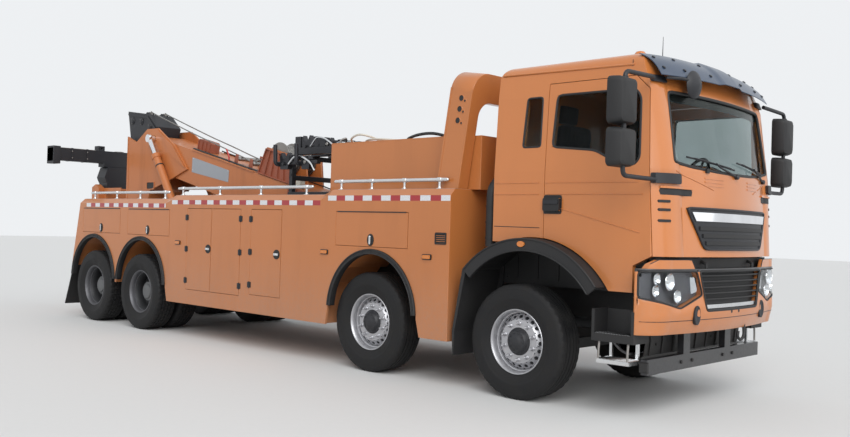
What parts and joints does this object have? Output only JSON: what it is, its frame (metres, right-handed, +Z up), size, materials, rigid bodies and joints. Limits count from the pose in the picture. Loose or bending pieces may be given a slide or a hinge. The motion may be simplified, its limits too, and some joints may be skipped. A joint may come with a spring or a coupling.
{
  "type": "four axle heavy tow truck",
  "caption": "Heavy tow truck with a lifting and extending boom, folded rear lift arm, twin winches, side lockers and a hollow cab.",
  "frame": {"origin": "on the ground below the middle of the whole truck's box", "axes": "+X forwards, +Y to the truck's left, +Z up"},
  "size_m": [11.359, 3.4, 3.3233],
  "materials": {
    "frame_black": "satin black chassis paint",
    "engine_grey": "cast grey",
    "cab_orange": "gloss orange paint",
    "body_orange": "semi-gloss orange paint",
    "boom_orange": "semi-gloss orange paint",
    "boom_black": "satin black paint",
    "tool_black": "oiled black steel",
    "tinted_glass": "smooth tinted glass",
    "cab_lining": "dark grey lining and cloth",
    "black_plastic": "grained black plastic",
    "lamp_lens": "clear lens over bright reflector",
    "plated_steel": "bright tube and tread plate",
    "chrome_rod": "polished chrome",
    "tyre_rubber": "black rubber",
    "rim_silver": "silver",
    "rim_grey": "dark grey paint",
    "winch_steel": "bare steel with wire rope"
  },
  "bodies": {
    "chassis": {"chassis_frame": "frame_black", "suspension": "frame_black", "drivetrain": "engine_grey", "cab_shell": "cab_orange", "cab_glass": "tinted_glass", "cab_interior": "cab_lining", "front_bumper": "cab_orange", "cab_trim": "black_plastic", "lamps": "lamp_lens", "fenders": "black_plastic", "steps_and_rails": "plated_steel", "locker_body": "body_orange", "cabinet_and_portal": "body_orange", "boom_base": "frame_black", "tow_forks": "tool_black"},
    "wheel_1_right": {"tyre_1_right": "tyre_rubber", "rim_1_right": "rim_silver"},
    "knuckle_1_right": {"knuckle_1_right": "frame_black"},
    "wheel_1_left": {"tyre_1_left": "tyre_rubber", "rim_1_left": "rim_silver"},
    "knuckle_1_left": {"knuckle_1_left": "frame_black"},
    "wheel_2_right": {"tyre_2_right": "tyre_rubber", "rim_2_right": "rim_silver"},
    "knuckle_2_right": {"knuckle_2_right": "frame_black"},
    "wheel_2_left": {"tyre_2_left": "tyre_rubber", "rim_2_left": "rim_silver"},
    "knuckle_2_left": {"knuckle_2_left": "frame_black"},
    "wheel_3_right": {"tyre_3_right": "tyre_rubber", "rim_3_right": "rim_grey"},
    "wheel_3_left": {"tyre_3_left": "tyre_rubber", "rim_3_left": "rim_grey"},
    "wheel_4_right": {"tyre_4_right": "tyre_rubber", "rim_4_right": "rim_grey"},
    "wheel_4_left": {"tyre_4_left": "tyre_rubber", "rim_4_left": "rim_grey"},
    "cab_door_right": {"cab_door_right": "cab_orange", "door_glass_right": "tinted_glass"},
    "locker_flip_4_right": {"locker_flip_4_right": "body_orange"},
    "locker_flip_3_right": {"locker_flip_3_right": "body_orange"},
    "locker_double_rear_right": {"locker_double_rear_right": "body_orange"},
    "locker_double_front_right": {"locker_double_front_right": "body_orange"},
    "locker_single_right": {"locker_single_right": "body_orange"},
    "locker_flip_2_right": {"locker_flip_2_right": "body_orange"},
    "cab_door_left": {"cab_door_left": "cab_orange", "door_glass_left": "tinted_glass"},
    "locker_flip_4_left": {"locker_flip_4_left": "body_orange"},
    "locker_flip_3_left": {"locker_flip_3_left": "body_orange"},
    "locker_double_rear_left": {"locker_double_rear_left": "body_orange"},
    "locker_double_front_left": {"locker_double_front_left": "body_orange"},
    "locker_single_left": {"locker_single_left": "body_orange"},
    "locker_flip_2_left": {"locker_flip_2_left": "body_orange"},
    "boom_outer": {"boom_outer": "boom_orange"},
    "boom_inner": {"boom_inner": "boom_black"},
    "lift_barrels": {"lift_barrels": "boom_orange"},
    "lift_rods": {"lift_rods": "chrome_rod"},
    "underlift_arm": {"underlift_arm": "boom_orange"},
    "underlift_stinger": {"underlift_stinger": "boom_black"},
    "underlift_crossbar": {"underlift_crossbar": "boom_black"},
    "winch_drum_right": {"winch_drum_right": "winch_steel"},
    "winch_drum_left": {"winch_drum_left": "winch_steel"}
  },
  "joints": [
    {"name": "steer_1_right", "type": "hinge", "parent": "chassis", "child": "knuckle_1_right", "pos_m": [4.11, -0.88, 0.525], "axis": [0, 0, 1], "range_deg": [-30, 30]},
    {"name": "wheel_1_right_spin", "type": "hinge", "parent": "knuckle_1_right", "child": "wheel_1_right", "pos_m": [4.11, -1.022, 0.525], "axis": [0, 1, 0], "continuous": true},
    {"name": "steer_1_left", "type": "hinge", "parent": "chassis", "child": "knuckle_1_left", "pos_m": [4.11, 0.88, 0.525], "axis": [0, 0, 1], "range_deg": [-30, 30]},
    {"name": "wheel_1_left_spin", "type": "hinge", "parent": "knuckle_1_left", "child": "wheel_1_left", "pos_m": [4.11, 1.022, 0.525], "axis": [0, 1, 0], "continuous": true},
    {"name": "steer_2_right", "type": "hinge", "parent": "chassis", "child": "knuckle_2_right", "pos_m": [2.16, -0.88, 0.525], "axis": [0, 0, 1], "range_deg": [-21, 21]},
    {"name": "wheel_2_right_spin", "type": "hinge", "parent": "knuckle_2_right", "child": "wheel_2_right", "pos_m": [2.16, -1.022, 0.525], "axis": [0, 1, 0], "continuous": true},
    {"name": "steer_2_left", "type": "hinge", "parent": "chassis", "child": "knuckle_2_left", "pos_m": [2.16, 0.88, 0.525], "axis": [0, 0, 1], "range_deg": [-21, 21]},
    {"name": "wheel_2_left_spin", "type": "hinge", "parent": "knuckle_2_left", "child": "wheel_2_left", "pos_m": [2.16, 1.022, 0.525], "axis": [0, 1, 0], "continuous": true},
    {"name": "wheel_3_right_spin", "type": "hinge", "parent": "chassis", "child": "wheel_3_right", "pos_m": [-2.465, -0.917, 0.525], "axis": [0, 1, 0], "continuous": true},
    {"name": "wheel_3_left_spin", "type": "hinge", "parent": "chassis", "child": "wheel_3_left", "pos_m": [-2.465, 0.917, 0.525], "axis": [0, 1, 0], "continuous": true},
    {"name": "wheel_4_right_spin", "type": "hinge", "parent": "chassis", "child": "wheel_4_right", "pos_m": [-3.815, -0.917, 0.525], "axis": [0, 1, 0], "continuous": true},
    {"name": "wheel_4_left_spin", "type": "hinge", "parent": "chassis", "child": "wheel_4_left", "pos_m": [-3.815, 0.917, 0.525], "axis": [0, 1, 0], "continuous": true},
    {"name": "cab_door_right_hinge", "type": "hinge", "parent": "chassis", "child": "cab_door_right", "pos_m": [5.385, -1.112, 1.9], "axis": [0, 0, 1], "range_deg": [0, 70]},
    {"name": "locker_flip_4_right_hinge", "type": "hinge", "parent": "chassis", "child": "locker_flip_4_right", "pos_m": [-3.6075, -1.25, 1.679], "axis": [-1, 0, 0], "range_deg": [0, 85]},
    {"name": "locker_flip_3_right_hinge", "type": "hinge", "parent": "chassis", "child": "locker_flip_3_right", "pos_m": [-2.26, -1.25, 1.675], "axis": [-1, 0, 0], "range_deg": [0, 85]},
    {"name": "locker_double_rear_right_hinge", "type": "hinge", "parent": "chassis", "child": "locker_double_rear_right", "pos_m": [-1.261, -1.25, 1.17], "axis": [0, 0, -1], "range_deg": [0, 95]},
    {"name": "locker_double_front_right_hinge", "type": "hinge", "parent": "chassis", "child": "locker_double_front_right", "pos_m": [-0.075, -1.25, 1.17], "axis": [0, 0, 1], "range_deg": [0, 95]},
    {"name": "locker_single_right_hinge", "type": "hinge", "parent": "chassis", "child": "locker_single_right", "pos_m": [0.145, -1.25, 1.185], "axis": [0, 0, -1], "range_deg": [0, 95]},
    {"name": "locker_flip_2_right_hinge", "type": "hinge", "parent": "chassis", "child": "locker_flip_2_right", "pos_m": [2.241, -1.25, 1.682], "axis": [-1, 0, 0], "range_deg": [0, 85]},
    {"name": "cab_door_left_hinge", "type": "hinge", "parent": "chassis", "child": "cab_door_left", "pos_m": [5.385, 1.112, 1.9], "axis": [0, 0, -1], "range_deg": [0, 70]},
    {"name": "locker_flip_4_left_hinge", "type": "hinge", "parent": "chassis", "child": "locker_flip_4_left", "pos_m": [-3.6075, 1.25, 1.679], "axis": [1, 0, 0], "range_deg": [0, 85]},
    {"name": "locker_flip_3_left_hinge", "type": "hinge", "parent": "chassis", "child": "locker_flip_3_left", "pos_m": [-2.26, 1.25, 1.675], "axis": [1, 0, 0], "range_deg": [0, 85]},
    {"name": "locker_double_rear_left_hinge", "type": "hinge", "parent": "chassis", "child": "locker_double_rear_left", "pos_m": [-1.261, 1.25, 1.17], "axis": [0, 0, 1], "range_deg": [0, 95]},
    {"name": "locker_double_front_left_hinge", "type": "hinge", "parent": "chassis", "child": "locker_double_front_left", "pos_m": [-0.075, 1.25, 1.17], "axis": [0, 0, -1], "range_deg": [0, 95]},
    {"name": "locker_single_left_hinge", "type": "hinge", "parent": "chassis", "child": "locker_single_left", "pos_m": [0.145, 1.25, 1.185], "axis": [0, 0, 1], "range_deg": [0, 95]},
    {"name": "locker_flip_2_left_hinge", "type": "hinge", "parent": "chassis", "child": "locker_flip_2_left", "pos_m": [2.241, 1.25, 1.682], "axis": [1, 0, 0], "range_deg": [0, 85]},
    {"name": "boom_lift", "type": "hinge", "parent": "chassis", "child": "boom_outer", "pos_m": [0.16, 0, 1.668], "axis": [0, 1, 0], "range_deg": [0, 25]},
    {"name": "boom_extend", "type": "slide", "parent": "boom_outer", "child": "boom_inner", "axis": [-0.974, 0, 0.2267], "range_m": [0, 1.6]},
    {"name": "lift_barrel_swing", "type": "hinge", "parent": "chassis", "child": "lift_barrels", "pos_m": [-2.696, 0, 1.3], "axis": [0, 1, 0], "range_deg": [0, 32]},
    {"name": "lift_rod_slide", "type": "slide", "parent": "lift_barrels", "child": "lift_rods", "axis": [-0.5941, 0, 0.8044], "range_m": [0, 1.22]},
    {"name": "underlift_fold", "type": "hinge", "parent": "boom_outer", "child": "underlift_arm", "pos_m": [-4.89, 0, 0.8], "axis": [0, -1, 0], "range_deg": [0, 90]},
    {"name": "underlift_extend", "type": "slide", "parent": "underlift_arm", "child": "underlift_stinger", "axis": [0, 0, 1], "range_m": [0, 0.6]},
    {"name": "crossbar_swivel", "type": "hinge", "parent": "underlift_stinger", "child": "underlift_crossbar", "pos_m": [-5.51, 0, 2.55], "axis": [0, 0, 1], "range_deg": [-30, 30]},
    {"name": "winch_drum_right_spin", "type": "hinge", "parent": "boom_outer", "child": "winch_drum_right", "pos_m": [-0.6721, -0.1285, 2.41607], "axis": [0, 1, 0], "continuous": true},
    {"name": "winch_drum_left_spin", "type": "hinge", "parent": "boom_outer", "child": "winch_drum_left", "pos_m": [-0.6721, 0.1285, 2.41607], "axis": [0, 1, 0], "continuous": true}
  ],
  "couplings": [
    {"joint": "steer_1_right", "follows": "steer_1_left", "ratio": 1},
    {"joint": "steer_2_left", "follows": "steer_1_left", "ratio": 0.7},
    {"joint": "steer_2_right", "follows": "steer_1_left", "ratio": 0.7},
    {"joint": "lift_barrel_swing", "follows": "boom_lift", "ratio": 1.2642},
    {"joint": "lift_rod_slide", "follows": "boom_lift", "m_per_rad": 2.7848}
  ]
}
